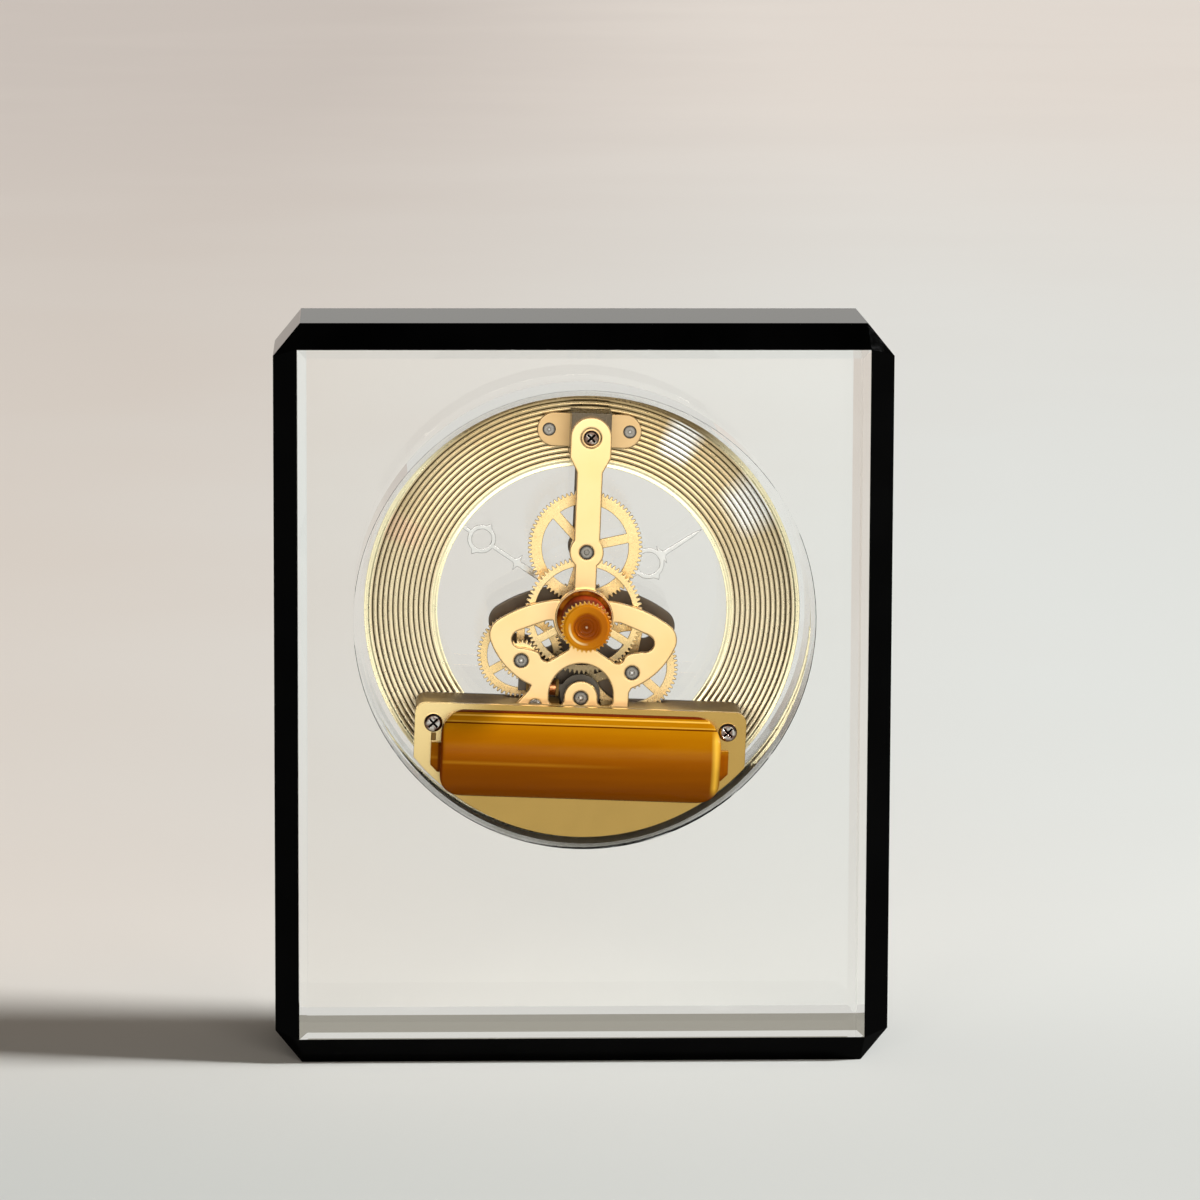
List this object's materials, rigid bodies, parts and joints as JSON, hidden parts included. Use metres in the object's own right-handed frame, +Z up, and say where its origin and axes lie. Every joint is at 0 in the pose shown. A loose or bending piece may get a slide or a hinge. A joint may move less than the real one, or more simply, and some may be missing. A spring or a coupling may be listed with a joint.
{
  "type": "crystal desk clock",
  "caption": "Clear upright block in black bevelled bars, with a gold skeleton clock movement, a battery cover and a setting knob in its round back cavity.",
  "frame": {"origin": "centre of the face that the clock stands on", "axes": "+Z up, the dial faces -Y, the setting knob and battery cover face +Y, +X to the right seen from the dial"},
  "size_m": [0.1246, 0.0465, 0.1508],
  "materials": {
    "crystal": "polished clear",
    "black_glass": "polished black",
    "clear_plastic": "clear",
    "gold_ring": "turned pale gold",
    "gold_plate": "satin pale gold",
    "gold_wheel": "polished gold",
    "print_black": "printed",
    "dark_metal": "dark satin",
    "dark_plastic": "satin",
    "steel": "dark polished",
    "bright_screw": "polished",
    "silver_hand": "polished",
    "amber_plastic": "amber, slightly translucent",
    "cell_jacket": "plain jacket",
    "copper_wire": "enamelled",
    "board_green": "lacquered",
    "iron": "satin"
  },
  "bodies": {
    "case": {"crystal_block": "crystal", "frame_top": "black_glass", "frame_bottom": "black_glass", "frame_left": "black_glass", "frame_right": "black_glass", "clear_sleeve": "clear_plastic", "dial_ring": "gold_ring", "hour_numerals": "print_black", "minute_track": "print_black", "front_plate": "gold_plate", "back_plate": "gold_plate", "post_block": "dark_metal", "bracket_rivets": "steel", "arm_screw": "bright_screw", "housing": "dark_plastic", "base_plate": "gold_plate", "base_screws": "bright_screw", "plate_bushes": "steel", "front_bushes": "steel", "knob_collar": "gold_plate", "foot_pin": "steel", "battery_cell": "cell_jacket", "contact_positive": "bright_screw", "contact_negative": "bright_screw", "circuit_board": "board_green", "quartz_can": "bright_screw", "coil_bobbin": "dark_plastic", "coil_winding": "copper_wire", "stator": "iron", "motion_post": "steel"},
    "minute_work": {"minute_arbor": "steel", "centre_wheel": "gold_wheel", "drive_pinion": "gold_wheel", "cannon_pinion": "gold_wheel", "setting_knob": "amber_plastic", "minute_hand": "silver_hand", "hand_cap": "silver_hand"},
    "hour_work": {"hour_wheel": "gold_wheel", "hour_hand": "silver_hand"},
    "motion_work": {"motion_wheel": "gold_wheel", "motion_pinion": "gold_wheel"},
    "upper_work": {"upper_wheel": "gold_wheel", "upper_arbor": "steel"},
    "left_work": {"left_wheel": "gold_wheel", "left_pinion": "gold_wheel"},
    "right_work": {"right_wheel": "gold_wheel", "right_pinion": "gold_wheel"},
    "rotor_work": {"rotor_magnet": "iron", "rotor_pinion": "gold_wheel"},
    "cover": {"battery_cover": "amber_plastic"}
  },
  "joints": [
    {"name": "minute_turn", "type": "hinge", "parent": "case", "child": "minute_work", "pos_m": [-0.0002, 0.00675, 0.091], "axis": [0, 1, 0], "continuous": true},
    {"name": "hour_turn", "type": "hinge", "parent": "case", "child": "hour_work", "pos_m": [-0.0002, -0.00025, 0.091], "axis": [0, 1, 0], "continuous": true},
    {"name": "motion_turn", "type": "hinge", "parent": "case", "child": "motion_work", "pos_m": [0.00006, 0.00075, 0.0838], "axis": [0, 1, 0], "continuous": true},
    {"name": "upper_turn", "type": "hinge", "parent": "case", "child": "upper_work", "pos_m": [-0.00068, 0.00675, 0.10419], "axis": [0, 1, 0], "continuous": true},
    {"name": "left_turn", "type": "hinge", "parent": "case", "child": "left_work", "pos_m": [0.01247, 0.00675, 0.08216], "axis": [0, 1, 0], "continuous": true},
    {"name": "right_turn", "type": "hinge", "parent": "case", "child": "right_work", "pos_m": [-0.00994, 0.00675, 0.07959], "axis": [0, 1, 0], "continuous": true},
    {"name": "rotor_turn", "type": "hinge", "parent": "case", "child": "rotor_work", "pos_m": [0.00041, 0.00675, 0.07446], "axis": [0, 1, 0], "continuous": true},
    {"name": "cover_off", "type": "slide", "parent": "case", "child": "cover", "axis": [0, 1, 0], "range_m": [0, 0.02]}
  ],
  "couplings": [
    {"joint": "hour_turn", "follows": "minute_turn", "ratio": 0.083333},
    {"joint": "motion_turn", "follows": "minute_turn", "ratio": -0.33333},
    {"joint": "upper_turn", "follows": "minute_turn", "ratio": -0.15789},
    {"joint": "left_turn", "follows": "minute_turn", "ratio": -3.12},
    {"joint": "right_turn", "follows": "minute_turn", "ratio": -3.5455},
    {"joint": "rotor_turn", "follows": "minute_turn", "ratio": 15.955}
  ]
}
